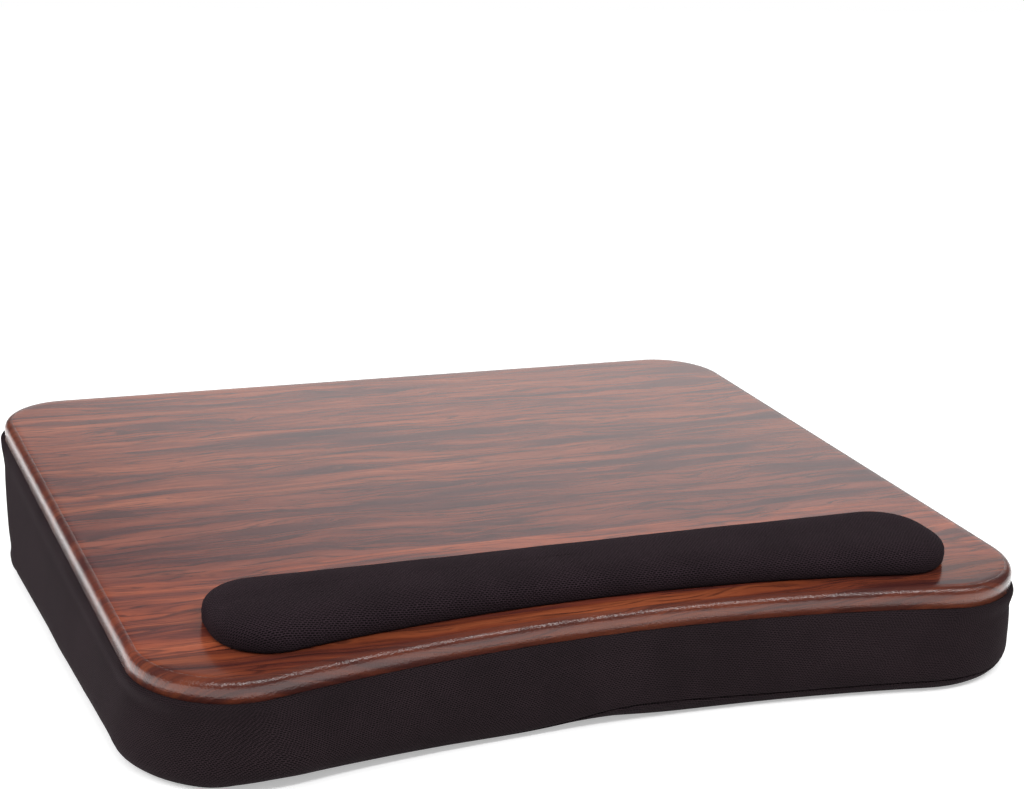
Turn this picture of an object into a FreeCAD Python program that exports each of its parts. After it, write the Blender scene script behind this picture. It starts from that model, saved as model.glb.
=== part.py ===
import FreeCAD, Part
import math
import os
import Sketcher

# Cushioned lap desk: a wood-grain board with a scooped front edge and a fabric wrist rest, glued on a
# wedge cushion that is thicker at the back, so that the board slopes down to the person using it.
#
# Axes: +X to the right, +Y to the back, +Z up. The cushion's flat underside lies on Z = 0, and the
# origin is at the middle of the space that the desk takes up on that surface.
#
# Everything above the cushion is drawn flat in the board's own directions and then tilted with it.
# "along" is a distance up the slope from the middle of the board, "above" is a distance square to it.

# Driving dimensions, in millimetres and degrees
SIZES = {
    # Board, with its wrapped edges
    "board_width": 478.0,
    "board_depth": 401.0,
    "front_dip": 21.0,
    "front_corner_radius": 47.0,
    "back_corner_radius": 40.0,
    "core_thickness": 9.5,
    "film_thickness": 0.35,
    "edge_round_radius": 4.5,
    "arris_chamfer": 0.6,
    "backer_thickness": 0.3,
    "backer_margin": 3.0,
    # Slope of the board, and the cushion's height under the board's foremost line
    "wedge_angle": 4.8,
    "cushion_front_height": 43.8,
    # Cushion cover
    "fabric_thickness": 1.2,
    "side_flare": 4.7,
    "front_flare": 8.2,
    "back_flare": 4.3,
    "hem_overhang": 1.2,
    "hem_radius": 3.2,
    "neck_depth": 0.6,
    "neck_front_drop": 8.8,
    "neck_back_drop": 14.0,
    "top_front_round": 45.0,
    "top_back_round": 32.0,
    "low_front_round": 64.0,
    "low_back_round": 82.0,
    "bottom_edge_round": 12.0,
    "seam_height": 7.0,
    # Cushion filling, and the glue that holds it to the board
    "foam_clearance": 0.5,
    "memory_foam_thickness": 16.0,
    "glue_thickness": 0.4,
    "glue_margin": 15.0,
    # Wrist rest
    "wrist_length": 401.0,
    "wrist_depth": 50.0,
    "wrist_height": 15.5,
    "wrist_gap": 16.4,
    "wrist_corner_radius": 28.6,
    "wrist_crown_inset": 16.7,
    "wrist_belly_height": 5.8,
    "wrist_tuck": 3.3,
    "wrist_fabric_thickness": 0.8,
    "wrist_turn_under": 10.0,
    "wrist_base_thickness": 2.0,
    "wrist_clearance": 0.3,
}

# How much of the flare, and of the corners' extra rounding, the cushion has where its foams meet and
# at its neck: it has none of it at the top hem and all of it at its widest line
FOAM_JOINT_SHARE = 0.95
NECK_SHARE = 0.25
# Sections between the foam joint and the neck, as shares of the way up
SIDE_STEPS = (0.33, 0.67)
# Turns, in degrees, of the section round the bottom edge between its flat and its seam
BOTTOM_STEPS = (33,)
# Turns of the sections round the hem's outside, from where it leaves the neck to its top
HEM_STEPS = (-45, 5, 60)
# Turns of the sections round the wrist rest, down from its fullest line to its underside, and up from
# that line to its crown
TUCK_STEPS = (90, 45)
CROWN_STEPS = (0, 22, 45, 68, 90)
# The same for its hidden faces, which are drawn through fewer sections
HIDDEN_TUCK_STEPS = (90,)
HIDDEN_CROWN_STEPS = (0, 30, 60, 90)

doc = FreeCAD.newDocument("lap_desk")
sheet = doc.addObject("Spreadsheet::Sheet", "sizes")
for row, (name, value) in enumerate(SIZES.items(), start=1):
    sheet.set(f"A{row}", name)
    sheet.set(f"B{row}", str(value))
    sheet.setAlias(f"B{row}", name)
doc.recompute()


def value_of(expression):
    """The number that an expression over the sheet's cells gives, in millimetres or degrees."""
    result = sheet.evalExpression(expression)
    return float(getattr(result, "Value", result))


# Expressions that several pieces share
HALF_WIDTH = "sizes.board_width / 2"
HALF_DEPTH = "sizes.board_depth / 2"
SLOPE = "(sizes.wedge_angle * 1 deg)"
# The scoop runs tangent into both front corners, so its radius follows from how deep it is
SCOOP_REACH = f"({HALF_WIDTH} - sizes.front_corner_radius)"
SCOOP_RADIUS = (
    f"(({SCOOP_REACH}^2 + sizes.front_dip^2) / (2 * sizes.front_dip) - sizes.front_corner_radius)"
)
SCOOP_CENTRE = f"(sizes.front_dip - {HALF_DEPTH} - {SCOOP_RADIUS})"
# Height of the cushion's top at the middle of the board
TOP_HEIGHT = f"(sizes.cushion_front_height + {HALF_DEPTH} * sin{SLOPE})"
# The widest outline of the cushion reaches from the foremost points of its front corners to its back,
# and the shift centres it
LOW_CORNER_X = f"({HALF_WIDTH} + sizes.side_flare - sizes.low_front_round)"
LOW_CORNER_RADII = f"({SCOOP_RADIUS} - sizes.front_flare + sizes.low_front_round)"
LOW_FRONT = (
    f"({SCOOP_CENTRE} + sqrt({LOW_CORNER_RADII}^2 - {LOW_CORNER_X}^2) - sizes.low_front_round)"
)
LOW_BACK = f"({HALF_DEPTH} + sizes.back_flare)"
CENTRE_SHIFT = f"(-1 * ({LOW_FRONT} + {LOW_BACK}) / 2)"
# The plane of the cushion's neck, which lies further below the board at the back than at the front
NECK_HEIGHT = f"({TOP_HEIGHT} - (sizes.neck_front_drop + sizes.neck_back_drop) / 2)"
NECK_RISE = f"(sizes.board_depth * tan{SLOPE} - sizes.neck_back_drop + sizes.neck_front_drop)"
NECK_TILT = f"atan({NECK_RISE} / sizes.board_depth)"
FOAM_JOINT_HEIGHT = "(sizes.fabric_thickness + sizes.memory_foam_thickness)"
BOARD_UNDERSIDE = "sizes.glue_thickness"
CORE_UNDERSIDE = f"({BOARD_UNDERSIDE} + sizes.backer_thickness)"
BOARD_TOP = f"({CORE_UNDERSIDE} + sizes.core_thickness + sizes.film_thickness)"


def new_body(name):
    body = doc.addObject("PartDesign::Body", name)
    body.Label = name
    return body


def seat_on_floor(body):
    """Place a body that is drawn level, with its own Z = 0 on the floor."""
    body.setExpression("Placement.Base.y", CENTRE_SHIFT)


def seat_on_slope(body, along, above):
    """Place a body that is drawn flat so that it lies in the board's slope."""
    tilt = FreeCAD.Rotation(FreeCAD.Vector(1, 0, 0), value_of("sizes.wedge_angle"))
    body.Placement = FreeCAD.Placement(FreeCAD.Vector(0, 0, 0), tilt)
    body.setExpression("Placement.Rotation.Angle", "sizes.wedge_angle")
    body.setExpression(
        "Placement.Base.y", f"{CENTRE_SHIFT} + ({along}) * cos{SLOPE} - ({above}) * sin{SLOPE}"
    )
    body.setExpression(
        "Placement.Base.z", f"{TOP_HEIGHT} + ({along}) * sin{SLOPE} + ({above}) * cos{SLOPE}"
    )


class Outline:
    """A scooped outline: straight sides and back, four rounded corners, and a hollow arc in front.

    Every size is an expression. The sides lie at half_width, the back at back, the scoop's centre on
    the Y axis at scoop_centre, which is in front of the outline.
    """

    def __init__(self, half_width, back, scoop_centre, scoop_radius, front_round, back_round):
        self.half_width = half_width
        self.back = back
        self.scoop_centre = scoop_centre
        self.scoop_radius = scoop_radius
        self.front_round = front_round
        self.back_round = back_round

    def inset(self, distance):
        """The parallel outline that lies this far inside."""
        return Outline(
            f"({self.half_width} - ({distance}))",
            f"({self.back} - ({distance}))",
            self.scoop_centre,
            f"({self.scoop_radius} + ({distance}))",
            f"({self.front_round} - ({distance}))",
            f"({self.back_round} - ({distance}))",
        )


def board_outline():
    return Outline(
        HALF_WIDTH,
        HALF_DEPTH,
        SCOOP_CENTRE,
        SCOOP_RADIUS,
        "sizes.front_corner_radius",
        "sizes.back_corner_radius",
    )


def wrist_outline():
    """The wrist rest's outline, about the middle of its depth: its front runs parallel to the board's."""
    scoop_radius = f"({SCOOP_RADIUS} + sizes.wrist_gap)"
    return Outline(
        "sizes.wrist_length / 2",
        "sizes.wrist_depth / 2",
        f"(-sizes.wrist_depth / 2 - {scoop_radius})",
        scoop_radius,
        "sizes.wrist_corner_radius",
        "sizes.wrist_corner_radius",
    )


def cushion_outline(share, overhang="0"):
    """The cushion's outline at a height: share is 0 at its top hem and 1 at its widest line."""
    front = f"(sizes.front_flare * {share} + {overhang})"
    side = f"(sizes.side_flare * {share} + {overhang})"
    back = f"(sizes.back_flare * {share} + {overhang})"
    return Outline(
        f"({HALF_WIDTH} + {side})",
        f"({HALF_DEPTH} + {back})",
        SCOOP_CENTRE,
        f"({SCOOP_RADIUS} - {front})",
        f"(sizes.top_front_round * (1 - {share}) + sizes.low_front_round * {share} + {overhang})",
        f"(sizes.top_back_round * (1 - {share}) + sizes.low_back_round * {share} + {overhang})",
    )


def arc_between(centre, radius, first_angle, last_angle):
    circle = Part.Circle(centre, FreeCAD.Vector(0, 0, 1), radius)
    return Part.ArcOfCircle(circle, first_angle, last_angle)


def sketch_outline(body, name, outline, height="0", tilt="0"):
    """Sketch an outline on a plane through (0, 0, height), tilted about X, with its sizes bound."""
    sketch = body.newObject("Sketcher::SketchObject", name)
    level = next(item for item in body.Origin.OriginFeatures if item.Role == "XY_Plane")
    sketch.AttachmentSupport = [(level, "")]
    sketch.MapMode = "FlatFace"
    turn = FreeCAD.Rotation(FreeCAD.Vector(1, 0, 0), value_of(tilt))
    sketch.AttachmentOffset = FreeCAD.Placement(FreeCAD.Vector(0, 0, value_of(height)), turn)
    sketch.setExpression("AttachmentOffset.Base.z", height)
    if tilt != "0":
        sketch.setExpression("AttachmentOffset.Rotation.Angle", tilt)

    half_width = value_of(outline.half_width)
    back = value_of(outline.back)
    scoop_centre = value_of(outline.scoop_centre)
    scoop_radius = value_of(outline.scoop_radius)
    front_round = value_of(outline.front_round)
    back_round = value_of(outline.back_round)

    # The front corner's centre stands as far from the scoop's centre as the two radii together
    corner_x = half_width - front_round
    corner_y = scoop_centre + math.sqrt((scoop_radius + front_round) ** 2 - corner_x**2)
    scoop_turn = math.atan2(corner_y - scoop_centre, corner_x)
    back_x = half_width - back_round
    back_y = back - back_round
    quarter = math.pi / 2

    def point(x, y):
        return FreeCAD.Vector(x, y, 0)

    scoop = arc_between(point(0, scoop_centre), scoop_radius, scoop_turn, math.pi - scoop_turn)
    right_front = arc_between(point(corner_x, corner_y), front_round, scoop_turn - math.pi, 0)
    right_side = Part.LineSegment(point(half_width, corner_y), point(half_width, back_y))
    right_back = arc_between(point(back_x, back_y), back_round, 0, quarter)
    back_side = Part.LineSegment(point(back_x, back), point(-back_x, back))
    left_back = arc_between(point(-back_x, back_y), back_round, quarter, math.pi)
    left_side = Part.LineSegment(point(-half_width, back_y), point(-half_width, corner_y))
    left_front = arc_between(point(-corner_x, corner_y), front_round, math.pi, -scoop_turn)
    edges = (scoop, right_front, right_side, right_back, back_side, left_back, left_side, left_front)
    for edge in edges:
        sketch.addGeometry(edge)
    SCOOP, RIGHT_FRONT, RIGHT_SIDE, RIGHT_BACK, BACK, LEFT_BACK, LEFT_SIDE, LEFT_FRONT = range(8)

    # Each edge runs tangent into the next. All start and end in turn round the outline, except that
    # the hollow scoop is drawn against the others, from its right end to its left one.
    START, END, CENTRE = 1, 2, 3
    joints = [
        (SCOOP, START, RIGHT_FRONT, START),
        (RIGHT_FRONT, END, RIGHT_SIDE, START),
        (RIGHT_SIDE, END, RIGHT_BACK, START),
        (RIGHT_BACK, END, BACK, START),
        (BACK, END, LEFT_BACK, START),
        (LEFT_BACK, END, LEFT_SIDE, START),
        (LEFT_SIDE, END, LEFT_FRONT, START),
        (LEFT_FRONT, END, SCOOP, END),
    ]
    for joint in joints:
        sketch.addConstraint(Sketcher.Constraint("Tangent", *joint))
    sketch.addConstraint(Sketcher.Constraint("Vertical", RIGHT_SIDE))
    sketch.addConstraint(Sketcher.Constraint("Vertical", LEFT_SIDE))
    sketch.addConstraint(Sketcher.Constraint("Horizontal", BACK))
    sketch.addConstraint(Sketcher.Constraint("Equal", RIGHT_FRONT, LEFT_FRONT))
    sketch.addConstraint(Sketcher.Constraint("Equal", RIGHT_BACK, LEFT_BACK))
    vertical_axis = -2
    sketch.addConstraint(Sketcher.Constraint("PointOnObject", SCOOP, CENTRE, vertical_axis))

    def bind(name, constraint, expression):
        index = sketch.addConstraint(constraint)
        sketch.renameConstraint(index, name)
        sketch.setExpression(f"Constraints.{name}", expression)

    bind("right_reach", Sketcher.Constraint("DistanceX", RIGHT_SIDE, START, half_width), outline.half_width)
    bind(
        "left_reach",
        Sketcher.Constraint("DistanceX", LEFT_SIDE, START, -half_width),
        f"-({outline.half_width})",
    )
    bind("back_reach", Sketcher.Constraint("DistanceY", BACK, START, back), outline.back)
    bind(
        "scoop_centre",
        Sketcher.Constraint("DistanceY", SCOOP, CENTRE, scoop_centre),
        outline.scoop_centre,
    )
    bind("scoop_radius", Sketcher.Constraint("Radius", SCOOP, scoop_radius), outline.scoop_radius)
    bind("front_round", Sketcher.Constraint("Radius", RIGHT_FRONT, front_round), outline.front_round)
    bind("back_round", Sketcher.Constraint("Radius", RIGHT_BACK, back_round), outline.back_round)
    return sketch


def loft(body, kind, name, sketches):
    """A loft through sketches, from the lowest to the highest: kind is Additive or Subtractive.

    It is ruled, because a smooth one swings out between sections that lie close together.
    """
    feature = body.newObject(f"PartDesign::{kind}Loft", name)
    feature.Profile = sketches[0]
    feature.Sections = sketches[1:]
    feature.Ruled = True
    doc.recompute()
    return feature


def pad(body, name, sketch, thickness):
    feature = body.newObject("PartDesign::Pad", name)
    feature.Profile = sketch
    feature.Length = value_of(thickness)
    feature.setExpression("Length", thickness)
    doc.recompute()
    return feature


def rim_edges(shape, height):
    """The names of a flat-topped shape's edges that lie at this height."""
    names = []
    for number, edge in enumerate(shape.Edges, start=1):
        if all(abs(vertex.Z - height) < 1e-6 for vertex in edge.Vertexes):
            names.append(f"Edge{number}")
    return names


def dress(body, kind, name, base, edges, quantity, expression):
    """Round or chamfer edges of the last feature: kind is Fillet or Chamfer."""
    feature = body.newObject(f"PartDesign::{kind}", name)
    feature.Base = (base, edges)
    setattr(feature, quantity, value_of(expression))
    feature.setExpression(quantity, expression)
    doc.recompute()
    return feature


# Board


def board_core():
    """The fibreboard panel: its top edge is rounded and its lower arris chamfered."""
    body = new_body("board_core")
    outline = board_outline().inset("sizes.film_thickness")
    slab = pad(body, "core_slab", sketch_outline(body, "core_outline", outline), "sizes.core_thickness")
    top_rim = rim_edges(slab.Shape, value_of("sizes.core_thickness"))
    rounding = "sizes.edge_round_radius - sizes.film_thickness"
    rounded = dress(body, "Fillet", "core_top_round", slab, top_rim, "Radius", rounding)
    low_rim = rim_edges(rounded.Shape, 0)
    dress(body, "Chamfer", "core_arris", rounded, low_rim, "Size", "sizes.arris_chamfer")
    seat_on_slope(body, "0", CORE_UNDERSIDE)
    return body


def board_film():
    """The wood-grain film, drawn over the core's top, its rounded edge and its side."""
    body = new_body("board_film")
    sketch = sketch_outline(body, "film_outline", board_outline())
    height = "sizes.core_thickness - sizes.arris_chamfer + sizes.film_thickness"
    slab = pad(body, "film_slab", sketch, height)
    top_rim = rim_edges(slab.Shape, value_of(height))
    rounded = dress(body, "Fillet", "film_top_round", slab, top_rim, "Radius", "sizes.edge_round_radius")
    open_face = next(
        f"Face{number}"
        for number, face in enumerate(rounded.Shape.Faces, start=1)
        if abs(face.BoundBox.ZMax) < 1e-6
    )
    skin = body.newObject("PartDesign::Thickness", "film_skin")
    skin.Base = (rounded, [open_face])
    skin.Value = value_of("sizes.film_thickness")
    skin.Reversed = True
    skin.setExpression("Value", "sizes.film_thickness")
    doc.recompute()
    seat_on_slope(body, "0", f"{CORE_UNDERSIDE} + sizes.arris_chamfer")
    return body


def flat_sheet(name, outline, thickness, along, above):
    """A flat sheet of one thickness that lies in the slope."""
    body = new_body(name)
    pad(body, f"{name}_slab", sketch_outline(body, f"{name}_outline", outline), thickness)
    seat_on_slope(body, along, above)
    return body


def board_backer():
    """The balancing paper under the core, which keeps the panel flat."""
    outline = board_outline().inset("sizes.backer_margin")
    return flat_sheet("board_backer", outline, "sizes.backer_thickness", "0", BOARD_UNDERSIDE)


def cushion_glue():
    outline = board_outline().inset("sizes.glue_margin")
    return flat_sheet("cushion_glue", outline, "sizes.glue_thickness", "0", "0")


# Cushion


def edge_inset(height, depth):
    """How far the rounded bottom edge has drawn in at a height, for a surface depth inside the cover."""
    radius = "sizes.bottom_edge_round"
    return f"({radius} - sqrt(({radius} - {depth})^2 - ({radius} - ({height}))^2))"


def edge_step(depth, degrees):
    """The height at which the rounded bottom edge has turned this far up from flat."""
    return f"({depth} + (sizes.bottom_edge_round - {depth}) * (1 - cos({degrees} deg)))"


def rounding_section(body, name, depth, height):
    """A level section through the rounded bottom edge."""
    outline = cushion_outline("1").inset(edge_inset(height, depth))
    return sketch_outline(body, name, outline, height)


def widest_section(body, name, depth):
    outline = cushion_outline("1").inset(depth)
    return sketch_outline(body, name, outline, "sizes.bottom_edge_round")


def foam_joint_section(body, name, depth):
    """The level section where the two foams meet."""
    outline = cushion_outline(FOAM_JOINT_SHARE).inset(depth)
    return sketch_outline(body, name, outline, FOAM_JOINT_HEIGHT)


def side_section(body, name, depth, rise):
    """A section between the foam joint, at rise 0, and the neck, at rise 1: it turns and draws in."""
    share = FOAM_JOINT_SHARE + (NECK_SHARE - FOAM_JOINT_SHARE) * rise
    outline = cushion_outline(share, f"(0 - sizes.neck_depth * {rise**2})").inset(depth)
    height = f"{FOAM_JOINT_HEIGHT} + ({NECK_HEIGHT} - {FOAM_JOINT_HEIGHT}) * {rise}"
    return sketch_outline(body, name, outline, height, f"{NECK_TILT} * {rise}")


def side_sections(body, prefix, depth):
    """The sections of a face of the cushion from the foam joint up to the neck."""
    sections = [foam_joint_section(body, f"{prefix}_foam_joint", depth)]
    for number, rise in enumerate(SIDE_STEPS, start=1):
        sections.append(side_section(body, f"{prefix}_side_{number}", depth, rise))
    sections.append(side_section(body, f"{prefix}_neck", depth, 1))
    return sections


def slope_section(body, name, outline, drop):
    """A section in the board's slope, this far below the cushion's top."""
    height = f"{TOP_HEIGHT} - ({drop}) / cos{SLOPE}"
    return sketch_outline(body, name, outline, height, "sizes.wedge_angle")


def hem_section(body, name, degrees):
    """A section round the outside of the top hem, in the board's slope."""
    drawn_in = f"(sizes.hem_radius * (1 - cos({degrees} deg)) - sizes.hem_overhang)"
    drop = f"(sizes.hem_radius * (1 - sin({degrees} deg)))"
    return slope_section(body, name, cushion_outline(0).inset(drawn_in), drop)


def top_section(body, name, depth, drop):
    """The section that closes the cushion's top, in the board's slope."""
    drawn_in = f"(sizes.hem_radius - sizes.hem_overhang + {depth})"
    return slope_section(body, name, cushion_outline(0).inset(drawn_in), drop)


def lower_band_sections(body, prefix, depth):
    """The sections of the side band's inner or outer face, from the bottom seam up to the neck."""
    seam = rounding_section(body, f"{prefix}_seam", depth, "sizes.seam_height")
    widest = widest_section(body, f"{prefix}_widest", depth)
    return [seam, widest] + side_sections(body, prefix, depth)


def rounding_sections(body, prefix, depth, first_height):
    """The sections of the bottom edge, from its flat underside to where the side stands up."""
    sections = [rounding_section(body, f"{prefix}_flat", depth, first_height)]
    for degrees in BOTTOM_STEPS:
        sections.append(rounding_section(body, f"{prefix}_{degrees}", depth, edge_step(depth, degrees)))
    return sections


def cushion_side_band():
    """The knitted band round the cushion, up from the bottom seam: at the top it is folded to a hem."""
    body = new_body("cushion_side_band")
    outer = lower_band_sections(body, "outer", "0")
    for number, degrees in enumerate(HEM_STEPS, start=1):
        outer.append(hem_section(body, f"outer_hem_{number}", degrees))
    outer.append(top_section(body, "outer_top", "0", "0"))
    loft(body, "Additive", "band_outside", outer)
    inner = lower_band_sections(body, "inner", "sizes.fabric_thickness")
    inner.append(top_section(body, "inner_top", "sizes.fabric_thickness", "0"))
    loft(body, "Subtractive", "band_inside", inner)
    seat_on_floor(body)
    return body


def cushion_bottom_panel():
    """The underside of the cover: flat on the floor, its edge rounded up to the bottom seam."""
    body = new_body("cushion_bottom_panel")
    outer = rounding_sections(body, "outer", "0", "0")
    outer.append(rounding_section(body, "outer_seam", "0", "sizes.seam_height"))
    loft(body, "Additive", "panel_outside", outer)
    depth = "sizes.fabric_thickness"
    inner = rounding_sections(body, "inner", depth, depth)
    inner.append(rounding_section(body, "inner_seam", depth, "sizes.seam_height"))
    loft(body, "Subtractive", "panel_inside", inner)
    seat_on_floor(body)
    return body


def cushion_top_panel():
    """The lining that closes the cover under the board, inside the side band's top hem."""
    thickness = "sizes.fabric_thickness"
    drawn_in = f"sizes.hem_radius - sizes.hem_overhang + {thickness} + sizes.foam_clearance"
    outline = cushion_outline(0).inset(drawn_in)
    return flat_sheet("cushion_top_panel", outline, thickness, "0", f"-{thickness}")


FOAM_DEPTH = "(sizes.fabric_thickness + sizes.foam_clearance)"


def memory_foam_layer():
    """The soft layer that rests on the legs, on the cover's underside."""
    body = new_body("memory_foam_layer")
    sections = rounding_sections(body, "foam", FOAM_DEPTH, FOAM_DEPTH)
    sections.append(widest_section(body, "foam_widest", FOAM_DEPTH))
    sections.append(foam_joint_section(body, "foam_joint", FOAM_DEPTH))
    loft(body, "Additive", "soft_layer", sections)
    seat_on_floor(body)
    return body


def foam_wedge():
    """The firmer foam block that gives the board its slope."""
    body = new_body("foam_wedge")
    sections = side_sections(body, "wedge", FOAM_DEPTH)
    sections.append(top_section(body, "wedge_top", FOAM_DEPTH, "sizes.fabric_thickness"))
    loft(body, "Additive", "wedge_block", sections)
    seat_on_floor(body)
    return body


# Wrist rest

WRIST_MIDDLE = f"(sizes.front_dip - {HALF_DEPTH} + sizes.wrist_gap + sizes.wrist_depth / 2)"
WRIST_BASE_TOP = "(sizes.wrist_fabric_thickness + sizes.wrist_base_thickness)"


def tuck_sections(body, prefix, depth, steps):
    """Sections of the wrist rest's tucked-in underside, a quarter of an ellipse down from its fullest line."""
    belly = "sizes.wrist_belly_height"
    sections = []
    for degrees in steps:
        rise = f"{belly} - ({belly} - {depth}) * sin({degrees} deg)"
        outline = wrist_outline().inset(f"{depth} + sizes.wrist_tuck * (1 - cos({degrees} deg))")
        sections.append(sketch_outline(body, f"{prefix}_tuck_{degrees}", outline, rise))
    return sections


def crown_sections(body, prefix, depth, steps):
    """Sections of the wrist rest's crown, a quarter of an ellipse up from its fullest line."""
    belly = "sizes.wrist_belly_height"
    sections = []
    for degrees in steps:
        rise = f"{belly} + (sizes.wrist_height - {depth} - {belly}) * sin({degrees} deg)"
        drawn_in = f"{depth} + (sizes.wrist_crown_inset - {depth}) * (1 - cos({degrees} deg))"
        outline = wrist_outline().inset(drawn_in)
        sections.append(sketch_outline(body, f"{prefix}_{degrees}", outline, rise))
    return sections


def wrist_rest_cover():
    """The fabric over the wrist rest, with its edge turned under the base plate."""
    body = new_body("wrist_rest_cover")
    fabric = "sizes.wrist_fabric_thickness"
    outer = tuck_sections(body, "outer", "0", TUCK_STEPS)
    outer += crown_sections(body, "outer", "0", CROWN_STEPS)
    loft(body, "Additive", "cover_outside", outer)
    inner = tuck_sections(body, "inner", fabric, HIDDEN_TUCK_STEPS)
    inner += crown_sections(body, "inner", fabric, HIDDEN_CROWN_STEPS)
    loft(body, "Subtractive", "cover_inside", inner)
    opening = sketch_outline(body, "opening", wrist_outline().inset("sizes.wrist_turn_under"))
    pocket = body.newObject("PartDesign::Pocket", "turn_under_opening")
    pocket.Profile = opening
    pocket.Reversed = True
    pocket.Length = value_of(fabric)
    pocket.setExpression("Length", fabric)
    doc.recompute()
    seat_on_slope(body, WRIST_MIDDLE, BOARD_TOP)
    return body


def wrist_rest_foam():
    """The foam on the base plate, which fills the cover up to its crown."""
    body = new_body("wrist_rest_foam")
    depth = "(sizes.wrist_fabric_thickness + sizes.wrist_clearance)"
    belly = "sizes.wrist_belly_height"
    drop_share = f"(({belly} - {WRIST_BASE_TOP}) / ({belly} - {depth}))"
    tucked_in = f"{depth} + sizes.wrist_tuck * {drop_share}"
    bottom = sketch_outline(body, "foam_bottom", wrist_outline().inset(tucked_in), WRIST_BASE_TOP)
    crown = crown_sections(body, "foam", depth, HIDDEN_CROWN_STEPS)
    loft(body, "Additive", "pillow", [bottom] + crown)
    seat_on_slope(body, WRIST_MIDDLE, BOARD_TOP)
    return body


def wrist_rest_base():
    """The stiff plate that the fabric is drawn over."""
    margin = "sizes.wrist_tuck + sizes.wrist_fabric_thickness + sizes.wrist_clearance"
    above = f"{BOARD_TOP} + sizes.wrist_fabric_thickness"
    outline = wrist_outline().inset(margin)
    return flat_sheet("wrist_rest_base", outline, "sizes.wrist_base_thickness", WRIST_MIDDLE, above)


def wrist_rest_tape():
    """The double-sided tape that fills the opening in the turned-under fabric."""
    outline = wrist_outline().inset("sizes.wrist_turn_under + sizes.wrist_clearance")
    return flat_sheet(
        "wrist_rest_tape", outline, "sizes.wrist_fabric_thickness", WRIST_MIDDLE, BOARD_TOP
    )


SUB_PARTS = (
    board_core,
    board_film,
    board_backer,
    cushion_glue,
    cushion_side_band,
    cushion_bottom_panel,
    cushion_top_panel,
    memory_foam_layer,
    foam_wedge,
    wrist_rest_cover,
    wrist_rest_foam,
    wrist_rest_base,
    wrist_rest_tape,
)

bodies = [make() for make in SUB_PARTS]
doc.recompute()

for item in doc.Objects:
    if "Invalid" in item.State or "Error" in item.State:
        raise RuntimeError(f"{item.Label} did not recompute: {item.State}")
for body in bodies:
    if body.Shape.isNull() or not body.Shape.isValid():
        raise RuntimeError(f"{body.Label} has no valid shape")

os.makedirs("parts", exist_ok=True)
for body in bodies:
    body.Shape.exportStep(f"parts/{body.Label}.step")
    print(body.Label, len(body.Shape.Solids), "solid,", round(body.Shape.Volume), "cubic mm")
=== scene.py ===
import math

import bpy
import numpy as np
from mathutils import Matrix, Vector, noise


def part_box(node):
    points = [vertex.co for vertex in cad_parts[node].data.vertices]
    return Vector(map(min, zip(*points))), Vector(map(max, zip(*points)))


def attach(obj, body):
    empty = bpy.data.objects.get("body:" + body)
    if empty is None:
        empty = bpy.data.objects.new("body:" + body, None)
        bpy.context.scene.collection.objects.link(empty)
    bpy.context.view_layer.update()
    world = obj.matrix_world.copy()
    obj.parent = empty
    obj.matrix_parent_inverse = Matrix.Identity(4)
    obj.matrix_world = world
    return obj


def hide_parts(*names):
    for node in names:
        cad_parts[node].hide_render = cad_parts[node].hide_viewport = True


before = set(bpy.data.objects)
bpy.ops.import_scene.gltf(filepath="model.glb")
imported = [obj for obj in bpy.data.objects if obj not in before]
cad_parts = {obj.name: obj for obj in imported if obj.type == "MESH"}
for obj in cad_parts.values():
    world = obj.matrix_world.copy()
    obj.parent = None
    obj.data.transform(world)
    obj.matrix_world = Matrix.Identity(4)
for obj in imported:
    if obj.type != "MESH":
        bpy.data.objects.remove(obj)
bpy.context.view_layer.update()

# Cushioned lap desk: a wood-grain board with a scooped front edge and a padded wrist rest, glued on a
# wedge cushion. The printed film, the cushion's cover and the wrist rest's cover are made again here,
# as smooth and soft forms, and every piece gets a procedural material.
#
# Axes as in the frame: +X to the right, +Y to the back, +Z up, in metres. Lengths below are written
# in millimetres and turned to metres once, when a mesh is made.

MM = 0.001

# Board
BOARD_WIDTH = 478.0
BOARD_DEPTH = 401.0
FRONT_DIP = 21.0
FRONT_CORNER = 47.0
BACK_CORNER = 40.0
EDGE_ROUND = 4.5
FILM_THICKNESS = 0.35
FILM_BOTTOM = -0.3
CAD_FILM_BOTTOM = 1.3
BOARD_TOP = 10.55
# How far inside the rounding the last ring of the flat top lies
FLAT_MARGIN = 3.0
WEDGE_ANGLE = math.radians(4.8)
FRONT_HEIGHT = 43.8

# Cushion cover
SIDE_FLARE = 4.7
FRONT_FLARE = 8.2
BACK_FLARE = 4.3
HEM_OVERHANG = 1.2
HEM_RADIUS = 2.4
HEM_LIFT = -0.2
# Turns round the hem, in degrees, from where it leaves the neck, and how far its flap reaches in
HEM_TURNS = (-8, 15, 35, 55, 72, 88)
HEM_FLAP = 2.0
NECK_DEPTH = 0.6
NECK_FRONT_DROP = 8.8
NECK_BACK_DROP = 14.0
TOP_FRONT_ROUND = 45.0
TOP_BACK_ROUND = 32.0
LOW_FRONT_ROUND = 64.0
LOW_BACK_ROUND = 82.0
BOTTOM_ROUND = 12.0
JOINT_HEIGHT = 17.2
# How much of the flare the cushion has where its foams meet and at its neck
JOINT_SHARE = 0.95
NECK_SHARE = 0.25
# Space between the cover's outside and the foams
FOAM_GAP = 1.7

# Wrist rest
WRIST_LENGTH = 401.0
WRIST_DEPTH = 50.0
WRIST_HEIGHT = 15.5
WRIST_GAP = 16.4
WRIST_CORNER = 28.6
WRIST_BELLY = 5.8
WRIST_TUCK = 3.3
# The power of the dome's rounding: 2 would be an ellipse, and more is fuller
WRIST_FULLNESS = 2.6
# The wrist rest's core lies this far inside the cover's outside, and starts on top of its base
WRIST_SKIN = 1.2
WRIST_BASE_TOP = 2.6

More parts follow.
